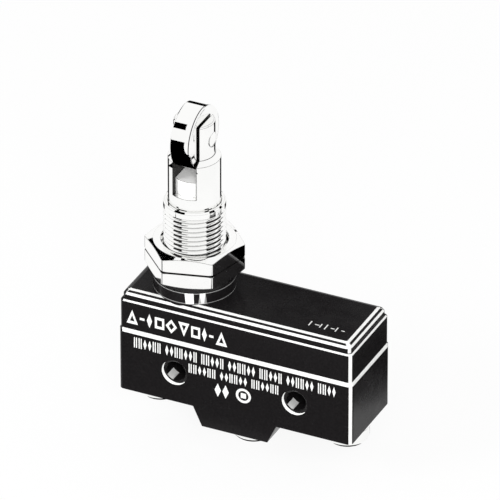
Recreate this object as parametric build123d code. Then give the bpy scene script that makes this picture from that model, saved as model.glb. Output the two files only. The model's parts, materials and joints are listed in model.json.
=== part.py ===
from build123d import *
import os

# A panel-mount roller-plunger basic switch, in millimetres.
# The origin lies midway between the two side mounting holes, on their axes.
# X runs along the body, Y across it and Z up. The plunger stands at the -X end.

# Housing, outside
BODY_LENGTH = 49.2
BODY_WIDTH = 17.45
CORNER_RADIUS = 1.0
EDGE_RADIUS = 0.3
EDGE_CHAMFER = 0.28         # on the edges that run round the housing
UNDERSIDE_DROP = 6.5        # from the mounting holes' axis down to the underside
FOOT_DEPTH = 4.2            # from the underside down to the centre foot's face
FOOT_LENGTH = 13.7
FOOT_FLARE = 1.95
CASE_RISE = 7.3             # from the mounting holes' axis up to the parting line
COVER_SIDE_HEIGHT = 6.2
COVER_INSET = 0.15
SHOULDER_HEIGHT = 1.3
SHOULDER_INSET = 0.4
BEVEL_HEIGHT = 0.6
BEVEL_INSET = 1.0
BOSS_HEIGHT = 2.4
BOSS_MARGIN = 1.0           # the boss's rim outside the bush's flange

# Housing, inside
END_WALL = 1.7
SIDE_WALL = 2.2
COVER_ROOF = 2.4
LIP_HEIGHT = 0.8
LIP_THICKNESS = 0.9
WELL_WALL = 3.0
WELL_FLOOR = 6.3

# Side mounting holes
HOLE_PITCH = 25.4
HOLE_RADIUS = 2.1
HOLE_SINK = 0.6
HOLE_ROOF = 1.3             # wall left between a mounting hole and the floor above it

# Bush and nuts
PLUNGER_END = 12.1          # from the body's end to the plunger's axis
THREAD_RADIUS = 6.0
THREAD_LENGTH = 15.3
THREAD_PITCH = 1.0
THREAD_DEPTH = 0.5
THREAD_LEAD = 1.4           # plain band above the thread
THREAD_CHAMFER = 0.3
BUSH_WALL = 0.85
FLANGE_HEIGHT = 1.2
FLANGE_MARGIN = 0.5         # the flange's rim outside the spigot
SPIGOT_WALL = 0.75
SWAGE_MARGIN = 0.7
SWAGE_HEIGHT = 0.6
SPIGOT_TAIL = 0.4           # spigot left below the swaged lip
NUT_FLATS = 17.0
NUT_HEIGHT = 3.25
NUT_CHAMFER = 0.55          # at both ends of the nut's bore
NUT_CROWN = 0.5             # from the flats in to the ring round the outer face
NUT_BACK = 0.7              # from the corners in to the ring round the inner face
NUT_SLOPE = 0.35
NUT_TURN = 15.5             # degrees from +X to the nuts' first corner

# Plunger
TRAVEL = 4.0
SLEEVE_RISE = 10.5          # sleeve standing above the bush
SLEEVE_WALL = 1.1
SLEEVE_CONE = 0.9
SPRING_WALL = 1.5           # the sleeve's wall round the spring chamber
SLOT_WIDTH = 5.0
SLEEVE_SLOT_DEPTH = 8.0
GUIDE_MARGIN = 0.5
GUIDE_HEIGHT = 1.1
YOKE_SEAT = 13.8            # length of the yoke held in the sleeve
YOKE_RISE = 7.2             # yoke standing above the sleeve
YOKE_TIP_CHAMFER = 0.25
YOKE_FLOOR = 4.8            # the roller slot's floor below the sleeve's top
ROLLER_RADIUS = 6.35
ROLLER_WIDTH = 4.4
ROLLER_EDGE = 0.25
ROLLER_RISE = 3.5           # the roller's axis above the sleeve's top
ROLLER_PIN_RADIUS = 1.5
ROLLER_PIN_SINK = 0.13      # the pin's ends inside the yoke's side

# Springs, push pin and retainer
RETAINER_THICKNESS = 0.9
RETURN_WIRE = 0.6
RETURN_TURNS = 5
INNER_WIRE = 0.5
INNER_TURNS = 4
PIN_RADIUS = 1.5
PIN_HEAD_RADIUS = 2.3
PIN_HEAD_HEIGHT = 1.0
PIN_HEAD_RISE = 6.7         # the pin's head above the retainer
PIN_STEM_RADIUS = 1.2
PIN_STEM_LENGTH = 5.0
PIN_LIFT = 0.3              # the pin's tip above the blade at rest

# Contact set
STRIP = 0.8
STRIP_WIDTH = 5.0
PLATE_WIDTH = 8.0
PLATE_SINK = 0.6            # how deep the terminal plates lie in the case
BEND_RADIUS = 0.6
CONTACT_RADIUS = 1.5
CONTACT_HEIGHT = 0.6
CONTACT_GAP = 0.5
CLOSED_GAP = 0.02
CONTACT_X = 6.6
CONTACT_SHANK = 0.7
BLADE = 0.2
BLADE_WIDTH = 6.4
BLADE_OVERHANG = 2.4        # blade beyond the movable contact's centre
BLADE_PLAY = 0.1
BLADE_HEEL = 1.7            # blade beyond the rivet's centre
WINDOW_WIDTH = 3.6
WINDOW_NEAR = 3.0           # from the push pin's axis to the window
WINDOW_FAR = 4.1            # from the movable contact's centre back to the window
TONGUE_WIDTH = 2.4
TONGUE_BOW = 0.5
TONGUE_DROP = 1.1
TONGUE_GAP = 0.3
ANCHOR_X = -4.0
ANCHOR_DROP = 0.6           # the anchor's tip below the blade's underside
RIVET_RADIUS = 0.8
RIVET_HEAD_RADIUS = 1.4
RIVET_HEAD_HEIGHT = 0.7
LANDING_REACH = 2.4         # the landing beyond the rivet's centre

# Terminal and cover screws
SCREW_END = 4.8             # from the body's end to each end screw
SCREW_RADIUS = 2.0
SCREW_LENGTH = 5.0
SCREW_HEAD_RADIUS = 4.3
SCREW_HEAD_HEIGHT = 3.6
SCREW_HEAD_ROUND = 2.0
SCREW_CROSS = 5.0
SCREW_CROSS_WIDTH = 1.0
SCREW_CROSS_DEPTH = 1.4
WASHER_RADIUS = 4.6
WASHER_THICKNESS = 0.9
PLATE_MARGIN = 3.8          # terminal plate beyond its screw's centre
COVER_SCREW_OFF = 2.0       # from a mounting hole's wall to a cover screw's axis
COVER_SCREW_WALL = 0.7      # case wall left outside a cover screw's head
COVER_SCREW_RADIUS = 1.0
COVER_SCREW_HEAD = 1.9
COVER_SCREW_HEAD_HEIGHT = 1.3
COVER_SCREW_SINK = 1.6
COVER_SCREW_BITE = 4.0      # screw length in the cover's post
POST_WALL = 1.0
POST_EXTRA = 1.0            # post left beyond the screw's tip

# Clearances
SLIDE_GAP = 0.05            # round what slides or turns
FIT_GAP = 0.03              # round what is pressed in, screwed in or dropped in
SLOT_GAP = 0.1              # round strips and screws in the case

# Places that follow from the sizes above
plunger_x = PLUNGER_END - BODY_LENGTH / 2
screw_x = BODY_LENGTH / 2 - SCREW_END
cover_screw_x = HOLE_PITCH / 2 + HOLE_RADIUS + COVER_SCREW_OFF
underside_z = -UNDERSIDE_DROP
foot_z = underside_z - FOOT_DEPTH
split_z = CASE_RISE
shoulder_z = split_z + COVER_SIDE_HEIGHT
rim_z = shoulder_z + SHOULDER_HEIGHT
roof_z = rim_z + BEVEL_HEIGHT
ceiling_z = roof_z - COVER_ROOF
boss_z = roof_z + BOSS_HEIGHT
flange_z = boss_z + FLANGE_HEIGHT
bush_top_z = flange_z + THREAD_LENGTH
floor_z = HOLE_RADIUS + HOLE_ROOF
well_z = foot_z + WELL_FLOOR
cavity_half_x = BODY_LENGTH / 2 - END_WALL
cavity_half_y = BODY_WIDTH / 2 - SIDE_WALL
well_half_x = HOLE_PITCH / 2 - HOLE_RADIUS - WELL_WALL

bore_radius = THREAD_RADIUS - BUSH_WALL
sleeve_radius = bore_radius - SLIDE_GAP
guide_radius = sleeve_radius + GUIDE_MARGIN
guide_bore = guide_radius + 3 * SLIDE_GAP
guide_half = sleeve_radius + SLIDE_GAP
spigot_radius = guide_bore + SPIGOT_WALL
swage_radius = spigot_radius + SWAGE_MARGIN
flange_radius = spigot_radius + FLANGE_MARGIN
boss_radius = flange_radius + BOSS_MARGIN
yoke_radius = sleeve_radius - SLEEVE_WALL
chamber_radius = sleeve_radius - SPRING_WALL
pin_hole = PIN_RADIUS + SLIDE_GAP
nut_crown_radius = NUT_FLATS / 2 - NUT_CROWN
nut_back_radius = NUT_FLATS / 3 ** 0.5 - NUT_BACK

swage_z = ceiling_z - SLOT_GAP - SWAGE_HEIGHT
spigot_z = swage_z - SPIGOT_TAIL
retainer_z = spigot_z + RETAINER_THICKNESS
guide_z = retainer_z + 1.05 * TRAVEL
guide_top_z = guide_z + GUIDE_HEIGHT
sleeve_z = bush_top_z + SLEEVE_RISE
yoke_z = sleeve_z - YOKE_SEAT
yoke_top_z = sleeve_z + YOKE_RISE
yoke_floor_z = sleeve_z - YOKE_FLOOR
roller_z = sleeve_z + ROLLER_RISE
pin_head_z = retainer_z + PIN_HEAD_RISE
pin_head_top_z = pin_head_z + PIN_HEAD_HEIGHT

blade_z = floor_z + STRIP + CONTACT_HEIGHT + CONTACT_GAP + CONTACT_HEIGHT
blade_top_z = blade_z + BLADE
closed_z = blade_top_z + CONTACT_HEIGHT + CLOSED_GAP
arm_z = closed_z + CONTACT_HEIGHT
landing_z = blade_z - BLADE_PLAY
end_plate_z = underside_z + PLATE_SINK
foot_plate_z = foot_z + PLATE_SINK
rivet_x = -screw_x
leg_x = cavity_half_x - SLOT_GAP - STRIP / 2
open_leg_x = CONTACT_X - STRIP / 2 - 1.0
blade_hole = RIVET_RADIUS + SLIDE_GAP
screw_hole = SCREW_RADIUS + SLOT_GAP
cover_screw_y = BODY_WIDTH / 2 - COVER_SCREW_WALL - COVER_SCREW_HEAD - SLOT_GAP
cover_post_radius = COVER_SCREW_RADIUS + POST_WALL
cover_screws = [(-cover_screw_x, cover_screw_y), (cover_screw_x, -cover_screw_y)]
terminal_screws = [(-screw_x, end_plate_z), (0, foot_plate_z), (screw_x, end_plate_z)]


def block(x0, x1, half_y, z0, z1):
    """A box between two X places and two heights, centred on Y = 0."""
    return Pos((x0 + x1) / 2, 0, (z0 + z1) / 2) * Box(x1 - x0, 2 * half_y, z1 - z0)


def rod(x, y, radius, z0, z1):
    """An upright cylinder between two heights."""
    return Pos(x, y, (z0 + z1) / 2) * Cylinder(radius, z1 - z0)


def turned(x, y, *outline):
    """A solid turned about an upright axis, from its half section of (radius, height)."""
    section = Plane.XZ * make_face(Polyline(*outline, close=True))
    return Pos(x, y, 0) * revolve(section, Axis.Z)


def slab(length, width, z0, z1, radius=CORNER_RADIUS):
    """A box with rounded upright corners, centred on the body."""
    return Pos(0, 0, z0) * extrude(RectangleRounded(length, width, radius), z1 - z0)


def strip_path(points, width, thickness=STRIP):
    """A metal strip bent along its centre line, which is given as (x, z) points."""
    line = FilletPolyline(*points, radius=BEND_RADIUS)
    return extrude(Plane.XZ * trace(line, thickness), width / 2, both=True)


def body_only(shape):
    """The one solid of a result that may be wrapped in a compound."""
    return shape.solids()[0]


def case_cuts():
    """Everything that is open in the case below the parting line."""
    cuts = [block(-cavity_half_x, cavity_half_x, cavity_half_y, floor_z, split_z + LIP_HEIGHT)]
    cuts.append(block(-well_half_x, well_half_x, cavity_half_y, well_z, floor_z))
    for x, plate_z in terminal_screws:
        half = PLATE_MARGIN + SLOT_GAP
        low_z = foot_z if x == 0 else underside_z
        cuts.append(block(x - half, x + half, PLATE_WIDTH / 2 + SLOT_GAP, low_z, plate_z))
        tip_z = plate_z - STRIP + SCREW_LENGTH
        cuts.append(rod(x, 0, screw_hole, plate_z, tip_z + 3 * SLOT_GAP))
    return cuts


def leg_slots():
    """Slots in the case for the legs of the three terminals."""
    half = STRIP / 2 + SLOT_GAP
    half_y = STRIP_WIDTH / 2 + SLOT_GAP
    bend = BEND_RADIUS
    slots = []
    for side in (-1, 1):
        leg = side * leg_x
        slots.append(block(leg - half, leg + half, half_y, underside_z, floor_z))
        slots.append(block(leg - bend, leg + bend, half_y, underside_z, end_plate_z + bend))
    slots.append(block(open_leg_x - half, open_leg_x + half, half_y, foot_z, well_z))
    slots.append(block(PLATE_MARGIN, open_leg_x + half, half_y, foot_z, foot_plate_z))
    slots.append(block(open_leg_x - bend, open_leg_x, half_y, foot_z, foot_plate_z + bend))
    return slots


def case():
    """Lower housing: foot, mounting holes, contact chamber and locating lip."""
    half = BODY_LENGTH / 2
    low = FOOT_LENGTH / 2
    high = low + FOOT_FLARE
    outline = [(-half, split_z), (-half, underside_z), (-high, underside_z), (-low, foot_z)]
    outline += [(low, foot_z), (high, underside_z), (half, underside_z), (half, split_z)]
    front = Plane.XZ * make_face(Polyline(*outline, close=True))
    shell = extrude(front, BODY_WIDTH / 2, both=True)
    corners = shell.edges().filter_by(Axis.Z).filter_by(lambda edge: abs(edge.center().X) > high)
    shell = fillet(corners, CORNER_RADIUS)
    shell = chamfer(shell.faces().sort_by(Axis.Z)[-1].edges(), EDGE_CHAMFER)
    shell = fillet(shell.faces().sort_by(Axis.Z)[0].edges(), EDGE_RADIUS)
    lip_length = 2 * (cavity_half_x + LIP_THICKNESS)
    lip_width = 2 * (cavity_half_y + LIP_THICKNESS)
    shell += slab(lip_length, lip_width, split_z, split_z + LIP_HEIGHT)
    for cut in case_cuts() + leg_slots():
        shell -= cut
    for x, y in cover_screws:
        shell += rod(x, y, cover_post_radius, floor_z, split_z)
        shell -= rod(x, y, COVER_SCREW_RADIUS + SLOT_GAP, underside_z, split_z + LIP_HEIGHT)
        shell -= rod(x, y, COVER_SCREW_HEAD + SLOT_GAP, underside_z, underside_z + COVER_SCREW_SINK)
        shell -= rod(x, y, cover_post_radius + SLOT_GAP, split_z, split_z + LIP_HEIGHT)
    for x in (-HOLE_PITCH / 2, HOLE_PITCH / 2):
        shell -= Pos(x, 0, 0) * Rot(90, 0, 0) * Cylinder(HOLE_RADIUS, BODY_WIDTH)
        for side in (-1, 1):
            mouth = Pos(x, side * (BODY_WIDTH - HOLE_SINK) / 2, 0) * Rot(-90 * side, 0, 0)
            shell -= mouth * Cone(HOLE_RADIUS, HOLE_RADIUS + HOLE_SINK, HOLE_SINK)
    return shell


def cover():
    """Upper housing: stepped and bevelled top, boss for the bush, and rebate for the lip."""
    length = BODY_LENGTH - 2 * COVER_INSET
    width = BODY_WIDTH - 2 * COVER_INSET
    step_length = length - 2 * SHOULDER_INSET
    step_width = width - 2 * SHOULDER_INSET
    slope = BEVEL_HEIGHT / BEVEL_INSET
    sections = [
        (0, rim_z - EDGE_CHAMFER),
        (EDGE_CHAMFER, rim_z + EDGE_CHAMFER * slope),
        (BEVEL_INSET - EDGE_CHAMFER, roof_z - EDGE_CHAMFER * slope),
        (BEVEL_INSET + EDGE_CHAMFER, roof_z),
    ]
    shell = slab(length, width, split_z, shoulder_z)
    shell = chamfer(shell.faces().sort_by(Axis.Z)[-1].edges(), EDGE_CHAMFER)
    shell += slab(step_length, step_width, shoulder_z, rim_z - EDGE_CHAMFER)
    rings = []
    for inset, z in sections:
        ring = RectangleRounded(step_length - 2 * inset, step_width - 2 * inset, CORNER_RADIUS - inset / 2)
        rings.append(Pos(0, 0, z) * ring)
    shell += loft(rings, ruled=True)
    shell += rod(plunger_x, 0, boss_radius, shoulder_z, boss_z)
    shell -= block(-cavity_half_x, cavity_half_x, cavity_half_y, split_z, ceiling_z)
    rebate_length = 2 * (cavity_half_x + LIP_THICKNESS + SLOT_GAP)
    rebate_width = 2 * (cavity_half_y + LIP_THICKNESS + SLOT_GAP)
    shell -= slab(rebate_length, rebate_width, split_z, split_z + LIP_HEIGHT + SLOT_GAP)
    shell -= rod(plunger_x, 0, spigot_radius + FIT_GAP, ceiling_z, boss_z)
    shell -= rod(plunger_x, 0, swage_radius + SLOT_GAP, spigot_z - SLOT_GAP, ceiling_z)
    for x, y in cover_screws:
        tip_z = split_z + COVER_SCREW_BITE
        post = rod(x, y, cover_post_radius, split_z, tip_z + POST_EXTRA)
        post -= rod(plunger_x, 0, swage_radius + SLOT_GAP, spigot_z - SLOT_GAP, ceiling_z)
        shell += post
        shell -= rod(x, y, COVER_SCREW_RADIUS + FIT_GAP, split_z, tip_z + SLOT_GAP)
    return body_only(shell)


def thread_outline():
    """The thread's grooves as (radius, height) points from the top down, one ring for each turn."""
    turns = int((THREAD_LENGTH - THREAD_LEAD) / THREAD_PITCH)
    points = []
    for turn in range(turns):
        root_z = bush_top_z - THREAD_LEAD - (turn + 0.5) * THREAD_PITCH
        points.append((THREAD_RADIUS, root_z + 0.4 * THREAD_PITCH))
        points.append((THREAD_RADIUS - THREAD_DEPTH, root_z))
        points.append((THREAD_RADIUS, root_z - 0.4 * THREAD_PITCH))
    return points


def mounting_bushing():
    """Threaded bush: thread, flange, spigot swaged under the cover, and the guide's bore."""
    bush = turned(
        plunger_x, 0,
        (bore_radius, guide_top_z + SLIDE_GAP),
        (bore_radius, bush_top_z),
        (THREAD_RADIUS - THREAD_CHAMFER, bush_top_z),
        (THREAD_RADIUS, bush_top_z - THREAD_CHAMFER),
        *thread_outline(),
        (THREAD_RADIUS, flange_z),
        (flange_radius, flange_z),
        (flange_radius, boss_z),
        (spigot_radius, boss_z),
        (spigot_radius, swage_z + SWAGE_HEIGHT),
        (swage_radius, swage_z + SWAGE_HEIGHT),
        (swage_radius, swage_z + SWAGE_HEIGHT / 2),
        (spigot_radius, swage_z),
        (spigot_radius, spigot_z),
        (guide_bore, spigot_z),
        (guide_bore, guide_top_z + SLIDE_GAP),
    )
    flats = rod(plunger_x, 0, guide_bore + FIT_GAP, retainer_z + SLIDE_GAP, guide_top_z + SLIDE_GAP)
    half = guide_half + SLIDE_GAP
    flats -= Pos(plunger_x, 0, 0) * block(-half, half, BODY_WIDTH, retainer_z, bush_top_z)
    return bush + flats


def nut(base_z, low_ring, high_ring):
    """A thin hexagon nut. Each face is flat inside its ring, and falls away to the corners outside it."""
    corner = NUT_FLATS / 3 ** 0.5
    flats = Pos(plunger_x, 0, base_z) * extrude(RegularPolygon(corner, 6, rotation=NUT_TURN), NUT_HEIGHT)
    bore = THREAD_RADIUS + SLIDE_GAP
    top_z = base_z + NUT_HEIGHT
    barrel = turned(
        plunger_x, 0,
        (bore, base_z + NUT_CHAMFER),
        (bore + NUT_CHAMFER, base_z),
        (low_ring, base_z),
        (corner, base_z + NUT_SLOPE * (corner - low_ring)),
        (corner, top_z - NUT_SLOPE * (corner - high_ring)),
        (high_ring, top_z),
        (bore + NUT_CHAMFER, top_z),
        (bore, top_z - NUT_CHAMFER),
    )
    return flats & barrel


def front_slot(low_z, high_z):
    """The space of the roller's slot, which runs right through from front to back."""
    half = SLOT_WIDTH / 2
    return Pos(plunger_x, 0, 0) * block(-half, half, BODY_WIDTH, low_z, high_z)


def plunger_sleeve():
    """Sleeve with a coned top, roller slots, spring chamber and a guide flange with two flats."""
    sleeve = turned(
        plunger_x, 0,
        (chamber_radius, guide_z),
        (guide_radius, guide_z),
        (guide_radius, guide_top_z),
        (sleeve_radius, guide_top_z),
        (sleeve_radius, sleeve_z - SLEEVE_CONE),
        (yoke_radius + FIT_GAP, sleeve_z),
        (yoke_radius + FIT_GAP, yoke_z),
        (chamber_radius, yoke_z),
    )
    flats = Pos(plunger_x, 0, 0) * block(-guide_half, guide_half, BODY_WIDTH, guide_z, guide_top_z)
    sleeve &= flats + rod(plunger_x, 0, guide_radius + GUIDE_MARGIN, guide_top_z, sleeve_z)
    return sleeve - front_slot(sleeve_z - SLEEVE_SLOT_DEPTH, sleeve_z)


def roller_yoke():
    """Forked core: two ears beside the roller, cut from one round bar."""
    yoke = rod(plunger_x, 0, yoke_radius, yoke_z, yoke_top_z)
    yoke = chamfer(yoke.faces().sort_by(Axis.Z)[-1].edges(), YOKE_TIP_CHAMFER)
    yoke -= front_slot(yoke_floor_z, yoke_top_z)
    return yoke - Pos(plunger_x, 0, roller_z) * Rot(0, 90, 0) * Cylinder(ROLLER_PIN_RADIUS, 2 * yoke_radius)


def roller():
    """Roller with rounded edges, on an axis along the body."""
    wheel = Cylinder(ROLLER_RADIUS, ROLLER_WIDTH)
    wheel = fillet(wheel.edges().filter_by(GeomType.CIRCLE), ROLLER_EDGE)
    wheel -= Cylinder(ROLLER_PIN_RADIUS + SLIDE_GAP, ROLLER_WIDTH)
    return Pos(plunger_x, 0, roller_z) * Rot(0, 90, 0) * wheel


def roller_pin():
    """Pin peened in both ears."""
    length = 2 * (yoke_radius - ROLLER_PIN_SINK)
    return Pos(plunger_x, 0, roller_z) * Rot(0, 90, 0) * Cylinder(ROLLER_PIN_RADIUS, length)


def spring_retainer():
    """Disc pressed into the bush's lower end, which guides the push pin."""
    disc = rod(plunger_x, 0, guide_bore - FIT_GAP, spigot_z, retainer_z)
    return disc - rod(plunger_x, 0, pin_hole, spigot_z, retainer_z)


def coil(mean_radius, wire, turns, low_z, high_z):
    """A compression spring of drawn wire, its ends just clear of what it stands between."""
    rise = high_z - low_z - 2 * wire
    path = Helix(rise / turns, rise, mean_radius)
    section = Plane(path @ 0, z_dir=path % 0) * RegularPolygon(wire / 2, 6)
    return Pos(plunger_x, 0, low_z + wire) * sweep(section, path, is_frenet=True)


def return_spring():
    """Outer spring, between the retainer and the yoke."""
    mean_radius = chamber_radius - RETURN_WIRE
    return coil(mean_radius, RETURN_WIRE, RETURN_TURNS, retainer_z, yoke_z)


def overtravel_spring():
    """Inner spring, between the push pin's head and the yoke."""
    mean_radius = PIN_STEM_RADIUS + INNER_WIRE / 2 + 6 * SLIDE_GAP
    return coil(mean_radius, INNER_WIRE, INNER_TURNS, pin_head_top_z, yoke_z)


def push_pin():
    """Pin that the inner spring presses on, with its rounded tip just above the blade."""
    tip_z = blade_top_z + PIN_LIFT
    return turned(
        plunger_x, 0,
        (0, tip_z),
        (PIN_RADIUS / 2, tip_z),
        (PIN_RADIUS, tip_z + PIN_RADIUS / 2),
        (PIN_RADIUS, pin_head_z),
        (PIN_HEAD_RADIUS, pin_head_z),
        (PIN_HEAD_RADIUS, pin_head_top_z),
        (PIN_STEM_RADIUS, pin_head_top_z),
        (PIN_STEM_RADIUS, pin_head_top_z + PIN_STEM_LENGTH),
        (0, pin_head_top_z + PIN_STEM_LENGTH),
    )


def snap_blade():
    """Spring blade with a window, and a tongue bowed back towards the anchor."""
    heel_x = rivet_x - BLADE_HEEL
    toe_x = CONTACT_X + BLADE_OVERHANG
    window_x = plunger_x + WINDOW_NEAR
    root_x = CONTACT_X - WINDOW_FAR
    tip_x = ANCHOR_X + STRIP / 2 + TONGUE_GAP
    leaf = block(heel_x, toe_x, BLADE_WIDTH / 2, blade_z, blade_top_z)
    leaf = fillet(leaf.edges().filter_by(Axis.Z), 1.0)
    leaf -= block(window_x, root_x, WINDOW_WIDTH / 2, blade_z, blade_top_z)
    leaf -= rod(rivet_x, 0, blade_hole, blade_z, blade_top_z)
    leaf -= rod(CONTACT_X, 0, CONTACT_SHANK + FIT_GAP, blade_z, blade_top_z)
    middle_z = (blade_z + blade_top_z) / 2
    bow_x = (root_x + tip_x) / 2
    root = (root_x + BLADE, middle_z)
    crown = (bow_x, middle_z + TONGUE_BOW)
    tip = (tip_x + BLADE / 2, middle_z - TONGUE_DROP)
    bow = Plane.XZ * trace(ThreePointArc(root, crown, tip), BLADE)
    leaf += extrude(bow, TONGUE_WIDTH / 2, both=True)
    return leaf


def blade_rivet():
    """Rivet through the blade and the common terminal's landing."""
    low_z = landing_z - STRIP
    high_z = blade_top_z + BLADE_PLAY
    return turned(
        rivet_x, 0,
        (0, low_z - RIVET_HEAD_HEIGHT),
        (RIVET_HEAD_RADIUS, low_z - RIVET_HEAD_HEIGHT),
        (RIVET_HEAD_RADIUS, low_z),
        (RIVET_RADIUS, low_z),
        (RIVET_RADIUS, high_z),
        (RIVET_HEAD_RADIUS, high_z),
        (RIVET_RADIUS, high_z + RIVET_HEAD_HEIGHT),
        (0, high_z + RIVET_HEAD_HEIGHT),
    )


def movable_contact():
    """Double-headed contact rivet at the blade's free end."""
    return turned(
        CONTACT_X, 0,
        (0, blade_z - CONTACT_HEIGHT),
        (CONTACT_RADIUS, blade_z - CONTACT_HEIGHT),
        (CONTACT_RADIUS, blade_z),
        (CONTACT_SHANK, blade_z),
        (CONTACT_SHANK, blade_top_z),
        (CONTACT_RADIUS, blade_top_z),
        (CONTACT_RADIUS, blade_top_z + CONTACT_HEIGHT),
        (0, blade_top_z + CONTACT_HEIGHT),
    )


def terminal_plate(x, plate_z):
    """The wide part of a terminal, with the screw's tapped hole."""
    plate = block(x - PLATE_MARGIN, x + PLATE_MARGIN, PLATE_WIDTH / 2, plate_z - STRIP, plate_z)
    return fillet(plate.edges().filter_by(Axis.Z), 1.0)


def drilled(terminal, x, plate_z):
    """A terminal with its screw's hole drilled through the plate."""
    return terminal - rod(x, 0, SCREW_RADIUS + FIT_GAP, plate_z - STRIP, plate_z)


def common_terminal():
    """Strip from the end screw up to the blade's landing and on to the tongue's anchor."""
    plate_mid_z = end_plate_z - STRIP / 2
    run_z = floor_z + STRIP / 2
    land_mid_z = landing_z - STRIP / 2
    path = [
        (-screw_x, plate_mid_z),
        (-leg_x, plate_mid_z),
        (-leg_x, land_mid_z),
        (rivet_x + LANDING_REACH, land_mid_z),
        (rivet_x + LANDING_REACH + 1.4, run_z),
        (ANCHOR_X, run_z),
        (ANCHOR_X, blade_z - ANCHOR_DROP),
    ]
    terminal = strip_path(path, STRIP_WIDTH) + terminal_plate(-screw_x, end_plate_z)
    terminal -= rod(rivet_x, 0, RIVET_RADIUS + FIT_GAP, floor_z, landing_z)
    return drilled(terminal, -screw_x, end_plate_z)


def normally_open_terminal():
    """Strip from the foot's screw up through the well to the lower contact."""
    plate_mid_z = foot_plate_z - STRIP / 2
    tab_z = floor_z + STRIP / 2
    path = [
        (0, plate_mid_z),
        (open_leg_x, plate_mid_z),
        (open_leg_x, tab_z),
        (CONTACT_X + CONTACT_RADIUS + 1.0, tab_z),
    ]
    terminal = strip_path(path, STRIP_WIDTH) + terminal_plate(0, foot_plate_z)
    return drilled(terminal, 0, foot_plate_z)


def normally_closed_terminal():
    """Strip from the other end screw up the end wall and over to the upper contact."""
    plate_mid_z = end_plate_z - STRIP / 2
    arm_mid_z = arm_z + STRIP / 2
    path = [
        (screw_x, plate_mid_z),
        (leg_x, plate_mid_z),
        (leg_x, arm_mid_z),
        (CONTACT_X - CONTACT_RADIUS - 0.3, arm_mid_z),
    ]
    terminal = strip_path(path, STRIP_WIDTH) + terminal_plate(screw_x, end_plate_z)
    return drilled(terminal, screw_x, end_plate_z)


def contact_button(low_z):
    """A fixed contact button."""
    return rod(CONTACT_X, 0, CONTACT_RADIUS, low_z, low_z + CONTACT_HEIGHT)


def terminal_screw(x, plate_z):
    """Terminal screw with a rounded head and a cross recess, threaded up into the plate."""
    seat_z = plate_z - STRIP - WASHER_THICKNESS
    head_z = seat_z - SCREW_HEAD_HEIGHT
    head = rod(x, 0, SCREW_HEAD_RADIUS, head_z, seat_z)
    head = fillet(head.edges().filter_by(GeomType.CIRCLE).sort_by(Axis.Z)[0], SCREW_HEAD_ROUND)
    for length, width in ((SCREW_CROSS, SCREW_CROSS_WIDTH), (SCREW_CROSS_WIDTH, SCREW_CROSS)):
        head -= Pos(x, 0, head_z + SCREW_CROSS_DEPTH / 2) * Box(length, width, SCREW_CROSS_DEPTH)
    return head + rod(x, 0, SCREW_RADIUS, seat_z, plate_z - STRIP + SCREW_LENGTH)


def terminal_washer(x, plate_z):
    """Clamp washer between the screw's head and the terminal plate."""
    low_z = plate_z - STRIP - WASHER_THICKNESS
    ring = rod(x, 0, WASHER_RADIUS, low_z, plate_z - STRIP)
    ring = chamfer(ring.edges().filter_by(GeomType.CIRCLE).sort_by(Axis.Z)[0], WASHER_THICKNESS / 3)
    return ring - rod(x, 0, SCREW_RADIUS + SLOT_GAP, low_z, plate_z - STRIP)


def cover_screw(x, y):
    """Small screw that holds the cover, sunk in the case's underside."""
    seat_z = underside_z + COVER_SCREW_SINK
    head = rod(x, y, COVER_SCREW_HEAD, seat_z - COVER_SCREW_HEAD_HEIGHT, seat_z)
    low_z = seat_z - COVER_SCREW_HEAD_HEIGHT
    slot = Pos(x, y, low_z + COVER_SCREW_HEAD_HEIGHT / 4)
    head -= slot * Box(2 * COVER_SCREW_HEAD, COVER_SCREW_HEAD / 3, COVER_SCREW_HEAD_HEIGHT / 2)
    return head + rod(x, y, COVER_SCREW_RADIUS, seat_z, split_z + COVER_SCREW_BITE)


def all_parts():
    """Every node by name."""
    parts = {
        "case": case(),
        "cover": cover(),
        "mounting_bushing": mounting_bushing(),
        "lower_nut": nut(flange_z, nut_crown_radius, nut_back_radius),
        "upper_nut": nut(flange_z + NUT_HEIGHT + SLIDE_GAP, nut_back_radius, nut_crown_radius),
        "plunger_sleeve": plunger_sleeve(),
        "roller_yoke": roller_yoke(),
        "roller": roller(),
        "roller_pin": roller_pin(),
        "spring_retainer": spring_retainer(),
        "return_spring": return_spring(),
        "overtravel_spring": overtravel_spring(),
        "push_pin": push_pin(),
        "snap_blade": snap_blade(),
        "blade_rivet": blade_rivet(),
        "movable_contact": movable_contact(),
        "common_terminal": common_terminal(),
        "normally_open_terminal": normally_open_terminal(),
        "normally_closed_terminal": normally_closed_terminal(),
        "normally_open_contact": contact_button(floor_z + STRIP),
        "normally_closed_contact": contact_button(closed_z),
    }
    for name, (x, plate_z) in zip(("common", "normally_open", "normally_closed"), terminal_screws):
        parts["screw_" + name] = terminal_screw(x, plate_z)
        parts["washer_" + name] = terminal_washer(x, plate_z)
    for name, (x, y) in zip(("left", "right"), cover_screws):
        parts["cover_screw_" + name] = cover_screw(x, y)
    return parts


def main():
    os.makedirs("parts", exist_ok=True)
    for name, shape in all_parts().items():
        shape.label = name
        export_step(shape, os.path.join("parts", name + ".step"))
        print(name, len(shape.solids()), round(shape.volume, 2))


main()
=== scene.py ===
import json
import math

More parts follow.
